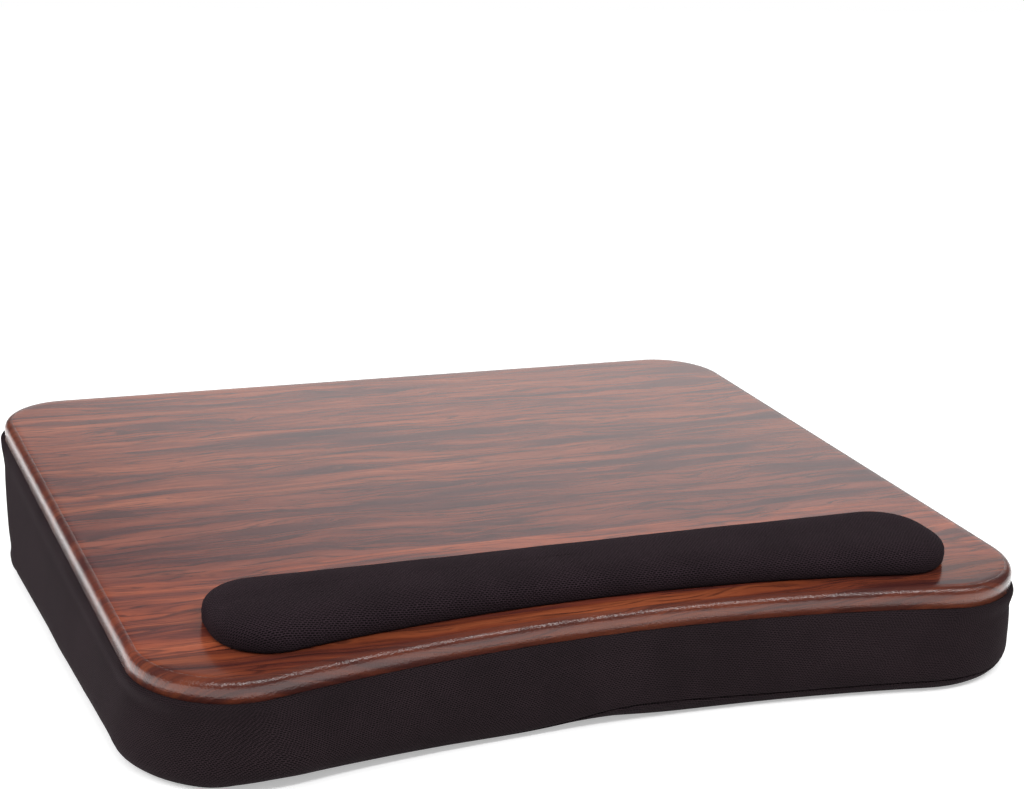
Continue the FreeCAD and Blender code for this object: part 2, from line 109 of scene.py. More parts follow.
# Bottom seam: nearly at the floor on the left, and in sight on the right
SEAM_LOW = 1.6
SEAM_HIGH = 7.0
SEAM_RISE_X = -22.0
SEAM_RISE_LENGTH = 8.0
SEAM_HUMP = 3.2
SEAM_HUMP_X = 2.0
SEAM_HUMP_WIDTH = 55.0
SEAM_GROOVE = 1.5
# How much further in the bottom edge is rounded where the cushion has slumped: this builds up from the
# left end on, and fades towards the middle
SLUMP = 26.0
SLUMP_START = -218.0
SLUMP_BUILD_UP = 45.0
SLUMP_END = 10.0
SLUMP_FADE = 190.0
# A short fold in the bottom edge near the middle of the front
KINK = 11.0
KINK_X = -12.0
KINK_WIDTH = 26.0

# Unevenness of a filled cover: rows of height and wavelength in millimetres, and a seed
BAND_WAVES = ((0.55, 80, 1), (0.22, 26, 2))
WRIST_WAVES = ((0.35, 60, 5), (0.12, 20, 6))
SIM_STEPS = 20

# Studio: the glow behind the desk that reflections see, and how light the room and the air are
GLOW_HEADING = math.radians(27)
GLOW_EDGE = 0.845
GLOW_MIDDLE = 0.90
GLOW_LEVEL = 1.45
GLOW_FOOT = 0.10
GLOW_CLEAR = 0.26
ROOM_LEVEL = 0.06
SKY_LOW = 0.36
SKY_TOP = 0.90
FLOOR_REACH = 6.0
FLOOR_GLOW = 0.40

# Camera, with its angles in degrees
CAMERA_LENS = 70.578
CAMERA_SHIFT_X = 0.00203
CAMERA_YAW = 23.5875
CAMERA_PITCH = 13.7888
CAMERA_ROLL = 1.6243
CAMERA_PLACE = (-0.42422, -1.00469, 0.3914)

# Printed strips of the wood grain, in metres, and the tone of each
STRIP_WIDTH = 0.088
STRIP_START = 0.254
STRIP_COUNT = 5
STRIP_TONES = [
    (0.0, (0.88, 0.80, 0.66)),
    (0.2, (1.20, 1.05, 0.92)),
    (0.4, (0.72, 0.67, 0.82)),
    (0.6, (0.95, 0.92, 0.95)),
    (0.8, (1.05, 1.00, 1.00)),
]

HALF_WIDTH = BOARD_WIDTH / 2
HALF_DEPTH = BOARD_DEPTH / 2
SCOOP_REACH = HALF_WIDTH - FRONT_CORNER
SCOOP_RADIUS = (SCOOP_REACH**2 + FRONT_DIP**2) / (2 * FRONT_DIP) - FRONT_CORNER
SCOOP_CENTRE = FRONT_DIP - HALF_DEPTH - SCOOP_RADIUS
TOP_HEIGHT = FRONT_HEIGHT + HALF_DEPTH * math.sin(WEDGE_ANGLE)
NECK_HEIGHT = TOP_HEIGHT - (NECK_FRONT_DROP + NECK_BACK_DROP) / 2
NECK_RISE = BOARD_DEPTH * math.tan(WEDGE_ANGLE) - NECK_BACK_DROP + NECK_FRONT_DROP
NECK_TILT = math.atan(NECK_RISE / BOARD_DEPTH)
WRIST_MIDDLE = FRONT_DIP - HALF_DEPTH + WRIST_GAP + WRIST_DEPTH / 2

# The board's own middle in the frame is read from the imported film, so that the pieces sit on the CAD
film_low, film_high = (np.array(corner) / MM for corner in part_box("board_film"))
FILM_MIDDLE = -(BOARD_TOP - EDGE_ROUND + CAD_FILM_BOTTOM) / 2 * math.sin(WEDGE_ANGLE)
SHIFT = (film_low[1] + film_high[1]) / 2 - FILM_MIDDLE


# Outlines and rings of points

SCOOP_POINTS = 110
CORNER_POINTS = 26
SIDE_POINTS = 56
BACK_POINTS = 60


def outline(half_width, back, scoop_centre, scoop_radius, front_round, back_round):
    """Points round a scooped outline, counter-clockwise from the right end of the scoop.

    Every outline has the same number of points on each stretch, so rings of them join up as a grid.
    """
    corner_x = half_width - front_round
    corner_y = scoop_centre + math.sqrt((scoop_radius + front_round) ** 2 - corner_x**2)
    turn = math.atan2(corner_y - scoop_centre, corner_x)
    back_x = half_width - back_round
    back_y = back - back_round

    def arc(centre_x, centre_y, radius, first, last, count):
        angles = np.linspace(first, last, count, endpoint=False)
        return np.stack([centre_x + radius * np.cos(angles), centre_y + radius * np.sin(angles)], 1)

    def line(start, end, count):
        share = np.linspace(0, 1, count, endpoint=False)[:, None]
        return np.array(start) * (1 - share) + np.array(end) * share

    half = math.pi / 2
    return np.concatenate([
        arc(corner_x, corner_y, front_round, turn - math.pi, 0, CORNER_POINTS),
        line((half_width, corner_y), (half_width, back_y), SIDE_POINTS),
        arc(back_x, back_y, back_round, 0, half, CORNER_POINTS),
        line((back_x, back), (-back_x, back), BACK_POINTS),
        arc(-back_x, back_y, back_round, half, math.pi, CORNER_POINTS),
        line((-half_width, back_y), (-half_width, corner_y), SIDE_POINTS),
        arc(-corner_x, corner_y, front_round, math.pi, 2 * math.pi - turn, CORNER_POINTS),
        arc(0, scoop_centre, scoop_radius, math.pi - turn, turn, SCOOP_POINTS),
    ])


def board_outline(inset):
    return outline(
        HALF_WIDTH - inset,
        HALF_DEPTH - inset,
        SCOOP_CENTRE,
        SCOOP_RADIUS + inset,
        FRONT_CORNER - inset,
        BACK_CORNER - inset,
    )


def cushion_outline(share, inset):
    """The cushion's outline at a height: share is 0 at its top hem and 1 at its widest line."""
    return outline(
        HALF_WIDTH + SIDE_FLARE * share - inset,
        HALF_DEPTH + BACK_FLARE * share - inset,
        SCOOP_CENTRE,
        SCOOP_RADIUS - FRONT_FLARE * share + inset,
        TOP_FRONT_ROUND * (1 - share) + LOW_FRONT_ROUND * share - inset,
        TOP_BACK_ROUND * (1 - share) + LOW_BACK_ROUND * share - inset,
    )


def wrist_outline(inset):
    scoop_radius = SCOOP_RADIUS + WRIST_GAP
    return outline(
        WRIST_LENGTH / 2 - inset,
        WRIST_DEPTH / 2 - inset,
        -WRIST_DEPTH / 2 - scoop_radius,
        scoop_radius + inset,
        WRIST_CORNER - inset,
        WRIST_CORNER - inset,
    )


def tilted(points, height, tilt):
    """A ring on a plane through (0, 0, height), tilted about X, in the frame's place."""
    x, y = points[:, 0], points[:, 1]
    return np.stack([x, y * math.cos(tilt) + SHIFT, height + y * math.sin(tilt)], 1)


def on_slope(points, along, above):
    """A ring in the board's slope: along is up the slope, above is square to it."""
    x, y = points[:, 0], points[:, 1] + along
    cosine, sine = math.cos(WEDGE_ANGLE), math.sin(WEDGE_ANGLE)
    return np.stack([x, SHIFT + y * cosine - above * sine, TOP_HEIGHT + y * sine + above * cosine], 1)


def smooth_rings(rings, steps):
    """Rings added between the given ones, on a centripetal spline up each column of points.

    Each added ring is blended three times, from pairs of the four rings p0 to p3 next to it.
    """
    rings = np.array(rings)
    ends = [2 * rings[0] - rings[1], 2 * rings[-1] - rings[-2]]
    padded = np.concatenate([ends[:1], rings, ends[1:]])
    gaps = np.sqrt(np.linalg.norm(np.diff(padded, axis=0), axis=2)).mean(axis=1)
    knots = np.concatenate([[0], np.cumsum(gaps)])
    out = []
    for i in range(1, len(padded) - 2):
        p0, p1, p2, p3 = padded[i - 1 : i + 3]
        t0, t1, t2, t3 = knots[i - 1 : i + 3]
        for t in np.linspace(t1, t2, steps, endpoint=False):
            a1 = (t1 - t) / (t1 - t0) * p0 + (t - t0) / (t1 - t0) * p1
            a2 = (t2 - t) / (t2 - t1) * p1 + (t - t1) / (t2 - t1) * p2
            a3 = (t3 - t) / (t3 - t2) * p2 + (t - t2) / (t3 - t2) * p3
            b1 = (t2 - t) / (t2 - t0) * a1 + (t - t0) / (t2 - t0) * a2
            b2 = (t3 - t) / (t3 - t1) * a2 + (t - t1) / (t3 - t1) * a3
            out.append((t2 - t) / (t2 - t1) * b1 + (t - t1) / (t2 - t1) * b2)
    out.append(rings[-1])
    return np.array(out)


# Meshes


def unrolled(make_outline, insets, heights):
    """Texture places for rings of one outline: each ring laid flat round the last, as one cut sheet."""
    steps = np.hypot(np.diff(insets), np.diff(heights))
    reach = np.concatenate([np.cumsum(steps[::-1])[::-1], [0]])
    return np.array([make_outline(insets[-1] - r) for r in reach])


def wound(rings):
    """Texture places for a band: the way round it, and the way up its own side at each column."""
    rings = np.array(rings)
    round_way = np.linalg.norm(np.diff(rings[0], axis=0, append=rings[0][:1]), axis=1)
    across = np.concatenate([[0], np.cumsum(round_way)])
    up_way = np.linalg.norm(np.diff(rings, axis=0), axis=2)
    rise = np.concatenate([np.zeros((1, rings.shape[1])), np.cumsum(up_way, axis=0)])
    rise = np.concatenate([rise, rise[:, :1]], axis=1)
    return np.stack([np.broadcast_to(across, rise.shape), rise], axis=2)


def ring_mesh(name, rings, places, close_first=False, close_last=False):
    """A smooth mesh through rings of points, with texture places in metres for each point.

    places may have one more column than the rings, for the edge where a band's texture meets itself.
    """
    rings = np.array(rings) * MM
    places = np.array(places) * MM
    count, around, _ = rings.shape
    faces = []
    corners = []
    for i in range(count - 1):
        for j in range(around):
            k = (j + 1) % around
            faces.append((i * around + j, i * around + k, (i + 1) * around + k, (i + 1) * around + j))
            last = j + 1 if places.shape[1] > around else k
            corners += [places[i, j], places[i, last], places[i + 1, last], places[i + 1, j]]
    if close_first:
        faces.append(tuple(reversed(range(around))))
        corners += list(places[0, :around][::-1])
    if close_last:
        faces.append(tuple((count - 1) * around + j for j in range(around)))
        corners += list(places[-1, :around])
    mesh = bpy.data.meshes.new(name)
    mesh.from_pydata(rings.reshape(-1, 3).tolist(), [], faces)
    layer = mesh.uv_layers.new(name="weave")
    layer.data.foreach_set("uv", np.array(corners).ravel())
    mesh.polygons.foreach_set("use_smooth", [True] * len(mesh.polygons))
    mesh.update()
    piece = bpy.data.objects.new(name, mesh)
    bpy.context.scene.collection.objects.link(piece)
    return piece


def dress(piece, node, material):
    """Give a piece its material and place in the frame, where it stands for a CAD node."""
    piece.data.materials.append(material)
    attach(piece, "root")
    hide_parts(node)
    return piece


def swell(piece, pinned, pressure, cap):
    """Fill a cover with pressure, as cloth held at its pinned points, and keep up to cap metres of it."""
    start = np.array([v.co for v in piece.data.vertices])
    pins = piece.vertex_groups.new(name="pins")
    pins.add([int(i) for i in pinned], 1.0, "REPLACE")
    cloth = piece.modifiers.new("cloth", "CLOTH")
    cloth.settings.quality = 5
    cloth.settings.mass = 0.3
    cloth.settings.tension_stiffness = 15
    cloth.settings.compression_stiffness = 15
    cloth.settings.bending_stiffness = 0.5
    cloth.settings.use_pressure = True
    cloth.settings.uniform_pressure_force = pressure
    cloth.settings.effector_weights.gravity = 0
    cloth.settings.vertex_group_mass = "pins"
    scene = bpy.context.scene
    for step in range(1, SIM_STEPS + 1):
        scene.frame_set(step)
    shaped = piece.evaluated_get(bpy.context.evaluated_depsgraph_get())
    moved = np.array([v.co for v in shaped.data.vertices]) - start
    piece.modifiers.remove(cloth)
    scene.frame_set(1)
    length = np.linalg.norm(moved, axis=1, keepdims=True)
    kept = cap * np.tanh(length / cap)
    moved = moved * kept / np.maximum(length, 1e-9)
    piece.data.vertices.foreach_set("co", (start + moved).ravel())
    piece.data.update()


def ripple(point, wavelength, seed):
    """Smooth noise from about -1 to 1 at a point in millimetres."""
    place = Vector(point) / wavelength + Vector((seed, 2.3 * seed, -1.7 * seed))
    return noise.noise(place)


def ripple_of(point, waves):
    return sum(height * ripple(point, wavelength, seed) for height, wavelength, seed in waves)


def ring_normals(rings):
    """Outward directions at the points of the rings."""
    round_way = np.roll(rings, -1, axis=1) - np.roll(rings, 1, axis=1)
    up_way = np.gradient(rings, axis=0)
    normals = np.cross(round_way, up_way)
    lengths = np.linalg.norm(normals, axis=2, keepdims=True)
    return normals / np.maximum(lengths, 1e-9)


def softened(rings, waves, fullness):
    """The rings with the unevenness of a filled cover: each has its share of it, from 0 to 1."""
    outward = ring_normals(rings)
    out = rings.copy()
    for i, ring in enumerate(rings):
        for j, point in enumerate(ring):
            out[i, j] = point + outward[i, j] * ripple_of(point, waves) * fullness[i]
    return out


# Materials


class Nodes:
    """A short way to write the node tree of a material or a world."""

    def __init__(self, owner):
        owner.use_nodes = True
        self.tree = owner.node_tree

    def add(self, kind, **settings):
        node = self.tree.nodes.new(kind)
        for key, value in settings.items():
            setattr(node, key, value)
        return node

    def link(self, source, target):
        self.tree.links.new(source, target)

    def plug(self, socket, value):
        if isinstance(value, bpy.types.NodeSocket):
            self.link(value, socket)
        else:
            socket.default_value = value

    def math(self, operation, first, second=0.0, third=0.0):
        node = self.add("ShaderNodeMath", operation=operation)
        for socket, value in zip(node.inputs, (first, second, third)):
            self.plug(socket, value)
        return node.outputs[0]

    def mix(self, share, first, second, blend="MIX"):
        node = self.add("ShaderNodeMix", data_type="RGBA", blend_type=blend)
        self.plug(node.inputs[0], share)
        self.plug(node.inputs[6], first)
        self.plug(node.inputs[7], second)
        return node.outputs[2]

    def choose(self, chooser, otherwise, chosen):
        """One of two numbers: the chooser is 0 or 1."""
        node = self.add("ShaderNodeMix")
        for socket, value in (("Factor", chooser), ("A", otherwise), ("B", chosen)):
            self.plug(node.inputs[socket], value)
        return node.outputs["Result"]

    def spread(self, value, low, high, to_low=0.0, to_high=1.0, curve="SMOOTHSTEP"):
        node = self.add("ShaderNodeMapRange", clamp=True, interpolation_type=curve)
        for socket, number in zip(node.inputs, (value, low, high, to_low, to_high)):
            self.plug(socket, number)
        return node.outputs[0]

    def place(self):
        return self.add("ShaderNodeTexCoord").outputs["Object"]

    def weave_uv(self):
        return self.add("ShaderNodeUVMap", uv_map="weave").outputs[0]

    def noise(self, vector, scale, detail=2.0, rough=0.5, output="Fac"):
        node = self.add("ShaderNodeTexNoise")
        self.link(vector, node.inputs["Vector"])
        node.inputs["Scale"].default_value = scale
        node.inputs["Detail"].default_value = detail
        node.inputs["Roughness"].default_value = rough
        return node.outputs[output]

    def grain(self, vector, along, across, detail=2.0, rough=0.5):
        """Noise that is drawn out: so many waves a metre along the grain, and so many across it."""
        node = self.add("ShaderNodeMapping")
        self.link(vector, node.inputs["Vector"])
        node.inputs["Scale"].default_value = (along, across, 1)
        return self.noise(node.outputs[0], 1.0, detail, rough)

    def ramp(self, value, stops):
        node = self.add("ShaderNodeValToRGB")
        self.link(value, node.inputs[0])
        elements = node.color_ramp.elements
        while len(elements) < len(stops):
            elements.new(0.5)
        for element, (position, colour) in zip(elements, stops):
            element.position = position
            element.color = (*colour, 1)
        return node.outputs[0]

    def bump(self, height, strength, distance):
        node = self.add("ShaderNodeBump")
        self.link(height, node.inputs["Height"])
        node.inputs["Strength"].default_value = strength
        node.inputs["Distance"].default_value = distance
        return node.outputs[0]


class Surface(Nodes):
    """A new material and its main shader."""

    def __init__(self, name):
        self.material = bpy.data.materials.new(name)
        super().__init__(self.material)
        self.shader = self.tree.nodes["Principled BSDF"]

    def set(self, **values):
        """Set the shader's sockets: words are joined with underscores."""
        for key, value in values.items():
            self.plug(self.shader.inputs[key.replace("_", " ")], value)


def srgb(red, green, blue):
    """A colour as it is seen on a screen, from 0 to 255, as the linear colour that a shader takes."""

    def linear(channel):
        share = channel / 255
        return share / 12.92 if share <= 0.04045 else ((share + 0.055) / 1.055) ** 2.4

    return (linear(red), linear(green), linear(blue), 1)


def wood_grain_film(name, edge):
    """Printed film in strips of red-brown grain that run along X, with fine dark lines and figure.

    The edge's film is the same print with painted shade mixed into its colour, glossier and dimpled where
    it was drawn over the rounding.
    """
    n = Surface(name)
    split = n.add("ShaderNodeSeparateXYZ")
    n.link(n.weave_uv(), split.inputs[0])
    along, across = split.outputs["X"], split.outputs["Y"]

    # Strips of the print: each has a tone and a grain of its own
    strip = n.math("FLOOR", n.math("DIVIDE", n.math("ADD", across, STRIP_START), STRIP_WIDTH))
    chance = n.add("ShaderNodeTexWhiteNoise", noise_dimensions="1D")
    n.link(strip, chance.inputs["W"])
    own = chance.outputs["Value"]

    def grain_place(y):
        place = n.add("ShaderNodeCombineXYZ")
        n.link(n.math("MULTIPLY_ADD", own, 3.0, along), place.inputs["X"])
        n.link(y, place.inputs["Y"])
        n.link(n.math("MULTIPLY", own, 7.0), place.inputs["Z"])
        return place.outputs[0]

    # The grain's own place: Y bent by slow and by quick waves, so that lines run almost straight
    start = grain_place(across)
    slow = n.math("SUBTRACT", n.grain(start, 8, 30), 0.5)
    quick = n.math("SUBTRACT", n.grain(start, 34, 150), 0.5)
    slow_bend = n.math("MULTIPLY_ADD", slow, 0.030, across)
    bent = grain_place(n.math("MULTIPLY_ADD", quick, 0.0035, slow_bend))

    tones = n.grain(bent, 6, 85, detail=3, rough=0.6)
    streaks = n.grain(bent, 15, 430, detail=5, rough=0.7)
    figure = n.grain(bent, 9, 130)
    fibres = n.grain(bent, 90, 2300, detail=3, rough=0.65)

    base = n.ramp(tones, [
        (0.30, srgb(64, 32, 35)[:3]),
        (0.43, srgb(96, 48, 41)[:3]),
        (0.54, srgb(126, 64, 45)[:3]),
        (0.70, srgb(149, 82, 57)[:3]),
    ])
    ridge = n.math("ABSOLUTE", n.math("SUBTRACT", figure, 0.5))
    lined = n.mix(n.spread(ridge, 0.030, 0.003, 0, 0.6), base, srgb(52, 27, 30))
    streaked = n.mix(n.spread(streaks, 0.50, 0.66, 0, 0.6), lined, srgb(52, 28, 29))
    lit = n.mix(n.spread(streaks, 0.45, 0.30, 0, 0.35), streaked, srgb(158, 88, 60))
    fine = n.mix(n.spread(fibres, 0.50, 0.68, 0, 0.38), lit, srgb(44, 24, 25))
    tint = n.ramp(n.math("MULTIPLY_ADD", strip, 1 / STRIP_COUNT, 0.5 / STRIP_COUNT), STRIP_TONES)
    tint.node.color_ramp.interpolation = "CONSTANT"
    colour = n.mix(1.0, fine, tint, "MULTIPLY")
    if edge:
        dimples = n.noise(n.place(), 1300, detail=1)
        # Painted shade: the print is mixed with a dark brown, which darkens the whole rounded edge and
        # rim
        n.set(Base_Color=n.mix(0.45, colour, srgb(74, 40, 35)), Roughness=0.32, IOR=1.45)
        n.set(Specular_IOR_Level=0.15, Coat_Weight=0.9, Coat_Roughness=0.12, Coat_IOR=1.5)
        bumpy = n.bump(dimples, 0.45, 0.00050)
        n.set(Normal=bumpy, Coat_Normal=bumpy)
    else:
        skin = n.math("ADD", n.math("MULTIPLY", streaks, 0.5), n.math("MULTIPLY", fibres, 0.3))
        n.set(Base_Color=colour, Roughness=0.19, IOR=1.45, Specular_IOR_Level=0.40)
        n.set(Normal=n.bump(skin, 0.30, 0.00012))
    return n.material


def knit(name, row_height, dash_width, dark, light, sheen, depth):
    """Knitted mesh: short dark dashes laid like bricks, in rows, between lighter threads.

    The height of a row and the width of a dash are in metres.
    """
    n = Surface(name)
    # The rows wander a little, as a stretched knit's do
    uv = n.weave_uv()
    drift = n.add("ShaderNodeVectorMath", operation="MULTIPLY_ADD")
    n.link(n.noise(uv, 260, detail=1, output="Color"), drift.inputs[0])
    drift.inputs[1].default_value = (0.0018, 0.0011, 0)
    n.link(uv, drift.inputs[2])
    split = n.add("ShaderNodeSeparateXYZ")
    n.link(drift.outputs[0], split.inputs[0])
    row = n.math("DIVIDE", split.outputs["Y"], row_height)
    odd = n.math("MULTIPLY", n.math("FLOORED_MODULO", n.math("FLOOR", row), 2.0), 0.5)
    column = n.math("ADD", n.math("DIVIDE", split.outputs["X"], dash_width), odd)
    up = n.math("PINGPONG", n.math("FRACT", row), 0.5)
    along = n.math("PINGPONG", n.math("FRACT", column), 0.5)
    dash = n.math("MULTIPLY", n.spread(up, 0.10, 0.34), n.spread(along, 0.05, 0.24))
    fuzz = n.noise(n.place(), 2600, detail=2)
    cloud = n.noise(n.place(), 30, detail=3)
    thread = n.math("MULTIPLY", n.math("SUBTRACT", 1.0, dash), n.spread(fuzz, 0.25, 0.75, 0.5, 1.0))
    colour = n.mix(thread, dark, light)
    colour = n.mix(n.spread(cloud, 0.35, 0.70, 0.0, 0.2), colour, dark)
    height = n.math("ADD", n.math("MULTIPLY", dash, -1.0), n.math("MULTIPLY", fuzz, 0.3))
    n.set(Base_Color=colour, Roughness=0.95, Sheen_Weight=sheen, Sheen_Roughness=0.4)
    n.set(Sheen_Tint=srgb(205, 175, 186), Specular_IOR_Level=0.08)
    n.set(Normal=n.bump(height, depth, 0.0004))
    return n.material


def knitted_mesh():
    """The cushion's very dark brown mesh."""
    return knit("knitted_mesh", 0.0009, 0.0016, srgb(8, 6, 7), srgb(50, 39, 43), 0.04, 0.4)


def wrist_fabric():
    """The wrist rest's smoother and finer mesh."""
    return knit("wrist_fabric", 0.0011, 0.0021, srgb(7, 5, 6), srgb(51, 39, 45), 0.05, 0.6)


def speckled(name, base, speck, size, rough):
    """A plain material with fine specks, for the board's core, the foams and the hidden sheets.

    The size of the specks is in metres.
    """
    n = Surface(name)
    grains = n.noise(n.place(), 1.0 / size, detail=4, rough=0.7)
    n.set(Base_Color=n.mix(n.spread(grains, 0.35, 0.65), base, speck), Roughness=rough)
    n.set(Normal=n.bump(grains, 0.3, size * 0.3))
    return n.material


# Pieces


def make_board_film():
    """The film over the board's top, its rounded edge and its rim."""
    insets = [FILM_THICKNESS, 0.0]
    heights = [FILM_BOTTOM, FILM_BOTTOM]
    for angle in np.linspace(0, math.pi / 2, 10):
        insets.append(EDGE_ROUND * (1 - math.cos(angle)))
        heights.append(BOARD_TOP - EDGE_ROUND * (1 - math.sin(angle)))
    insets.append(EDGE_ROUND + FLAT_MARGIN)
    heights.append(BOARD_TOP)
    rings = [on_slope(board_outline(inset), 0, height) for inset, height in zip(insets, heights)]
    piece = ring_mesh("film", rings, unrolled(board_outline, insets, heights), close_last=True)
    piece.data.materials.append(wood_grain_film("wood_grain_film_flat", edge=False))
    # The flat top and the strip of faces next to it have the first material, the edge has the second
    edge_faces = len(rings[0]) * (len(rings) - 2)
    slots = [1] * edge_faces + [0] * (len(piece.data.polygons) - edge_faces)
    dress(piece, "board_film", wood_grain_film("wood_grain_film_edge", edge=True))
    piece.data.polygons.foreach_set("material_index", slots)
    return piece


def edge_reach(points):
    """How far in the bottom edge's rounding reaches: further where the front left side has slumped."""
    x, y = points[:, 0], points[:, 1]
    rise = np.clip((x - SLUMP_START) / SLUMP_BUILD_UP, 0, 1)
    fall = np.clip((SLUMP_END - x) / SLUMP_FADE, 0, 1)
    slump = rise * rise * (3 - 2 * rise) * fall**2
    kink = np.exp(-(((x - KINK_X) / KINK_WIDTH) ** 2))
    return BOTTOM_ROUND + (SLUMP * slump + KINK * kink) * (y < 0)


def bottom_rings(turns, depth=0.0):
    """Rings round the rounded bottom edge, depth inside it.

    Each row of turns has the angle at each point of a ring: 0 is on the floor, a right angle where the
    side stands up.
    """
    rings = []
    flat = cushion_outline(1, 0)
    reach = edge_reach(flat)
    unit = cushion_outline(1, 1) - flat
    for turn in turns:
        inward = reach - (reach - depth) * np.sin(turn)
        points = flat + unit * inward[:, None]
        height = BOTTOM_ROUND - (BOTTOM_ROUND - depth) * np.cos(turn)
        rings.append(np.column_stack([points[:, 0], points[:, 1] + SHIFT, height]))
    return rings


def seam_turns():
    """How far up the rounded edge the bottom seam lies: low at the left, and higher at the right."""
    x = cushion_outline(1, 0)[:, 0]
    rise = 1 / (1 + np.exp(-(x - SEAM_RISE_X) / SEAM_RISE_LENGTH))
    hump = np.exp(-(((x - SEAM_HUMP_X) / SEAM_HUMP_WIDTH) ** 2))
    height = SEAM_LOW + (SEAM_HIGH - SEAM_LOW) * rise + SEAM_HUMP * hump
    return np.arccos(1 - height / BOTTOM_ROUND)


def seam_ring():
    """The ring where the two panels of the cover meet, pulled in so that it lies in a narrow groove."""
    ring = bottom_rings([seam_turns()])[0]
    inward = cushion_outline(1, 1) - cushion_outline(1, 0)
    ring[:, :2] += inward * SEAM_GROOVE
    return ring


def side_points(rise, inset=0.0):
    """The cushion's outline between the foam joint, at rise 0, and the neck, at rise 1."""
    share = JOINT_SHARE + (NECK_SHARE - JOINT_SHARE) * rise
    return cushion_outline(share, NECK_DEPTH * rise**2 + inset)


def side_height(rise):
    return JOINT_HEIGHT + (NECK_HEIGHT - JOINT_HEIGHT) * rise


def hem_ring(angle):
    """A ring round the outside of the hem: its angle is 0 at its widest and a right angle on top."""
    inset = HEM_RADIUS * (1 - math.cos(angle)) - HEM_OVERHANG
    return on_slope(cushion_outline(0, inset), 0, HEM_LIFT - HEM_RADIUS * (1 - math.sin(angle)))


def make_side_band(fabric):
    """The knitted band: rounded in at the bottom seam, drawn in under the board and turned in there."""
    seam = seam_turns()
    rings = bottom_rings([seam * (1 - share) + share * math.pi / 2 for share in (0, 0.34, 0.67, 1)])
    for rise in np.linspace(0, 1, 6):
        rings.append(tilted(side_points(rise), side_height(rise), NECK_TILT * rise))
    rings += [hem_ring(math.radians(degrees)) for degrees in HEM_TURNS]
    rings = smooth_rings(rings, 3)
    rings[0] = seam_ring()
    places = wound(rings)
    # The seam and the hem stay even, and most of the side between them has its full unevenness
    fullness = np.clip(np.sin(np.linspace(0, math.pi, len(rings))) * 1.6, 0, 1)
    rings = softened(rings, BAND_WAVES, fullness)
    flap = on_slope(cushion_outline(0, HEM_RADIUS + HEM_FLAP), 0, -0.1)
    rings = np.concatenate([rings, [flap]])
    flap_places = places[-1:] + (0, 5)
    piece = ring_mesh("side_band", rings, np.concatenate([places, flap_places]))
    # The first four and the last four rings are held
    around = rings.shape[1]
    points = np.arange(rings.shape[0] * around)
    pinned = np.concatenate([points[: 4 * around], points[-4 * around :]])
    swell(piece, pinned, pressure=3.0, cap=0.0010)
    return dress(piece, "cushion_side_band", fabric)


def make_bottom_panel(fabric):
    """The cover's underside, flat on the floor and rounded up to the bottom seam."""
    seam = seam_turns()
    # Shares of the way up to the seam: the last but one keeps its groove narrow
    shares = np.array([0, 0.2, 0.4, 0.6, 0.8, 0.94, 1])
    rings = bottom_rings([seam * share for share in shares])
    rings[-1] = seam_ring()
    middle = cushion_outline(1, BOTTOM_ROUND + SLUMP + 8)
    rings.insert(0, np.column_stack([middle[:, 0], middle[:, 1] + SHIFT, np.zeros(len(middle))]))
    places = [cushion_outline(1, BOTTOM_ROUND * (1 - share)) for share in shares]
    places.insert(0, middle)
    piece = ring_mesh("bottom_panel", rings, places, close_first=True)
    return dress(piece, "cushion_bottom_panel", fabric)


def wrist_profile(inward, lift):
    """Insets and heights of the wrist rest's section: tucked in below, a full dome above.

    It lies inward of the cover's outside, and no lower than lift above the board.
    """
    insets, heights = [], []
    for degrees in (90, 65, 40, 15):
        angle = math.radians(degrees)
        insets.append(inward + WRIST_TUCK * (1 - math.cos(angle)))
        heights.append(max(lift, WRIST_BELLY * (1 - math.sin(angle))))
    half = WRIST_DEPTH / 2 - 1.0
    for share in np.linspace(0, 1, 16) ** 1.5:
        inset = inward + (half - inward) * share
        rise = (1 - (1 - share) ** WRIST_FULLNESS) ** (1 / WRIST_FULLNESS)
        insets.append(inset)
        heights.append(WRIST_BELLY + (WRIST_HEIGHT - inward - WRIST_BELLY) * rise)
    return insets, heights


def make_wrist_rest():
    """The wrist rest's cover: a low domed pillow whose edge is tucked in under it."""
    insets, heights = wrist_profile(inward=0.0, lift=0.05)
    rings = [
        on_slope(wrist_outline(inset), WRIST_MIDDLE, BOARD_TOP + height)
        for inset, height in zip(insets, heights)
    ]
    # It is even where it lies on the board, and has its full unevenness from the seventh ring on
    fullness = np.minimum(np.arange(len(rings)) / 6, 1)
    rings = softened(np.array(rings), WRIST_WAVES, fullness)
    places = unrolled(wrist_outline, insets, heights)
    piece = ring_mesh("wrist_rest", rings, places, close_first=True, close_last=True)
    around = rings.shape[1]
    swell(piece, np.arange(around * 3), pressure=2.0, cap=0.0006)
    return dress(piece, "wrist_rest_cover", wrist_fabric())


def foam_piece(name, rings, material, node):
    piece = ring_mesh(name, rings, np.array(rings)[:, :, :2], close_first=True, close_last=True)
    return dress(piece, node, material)


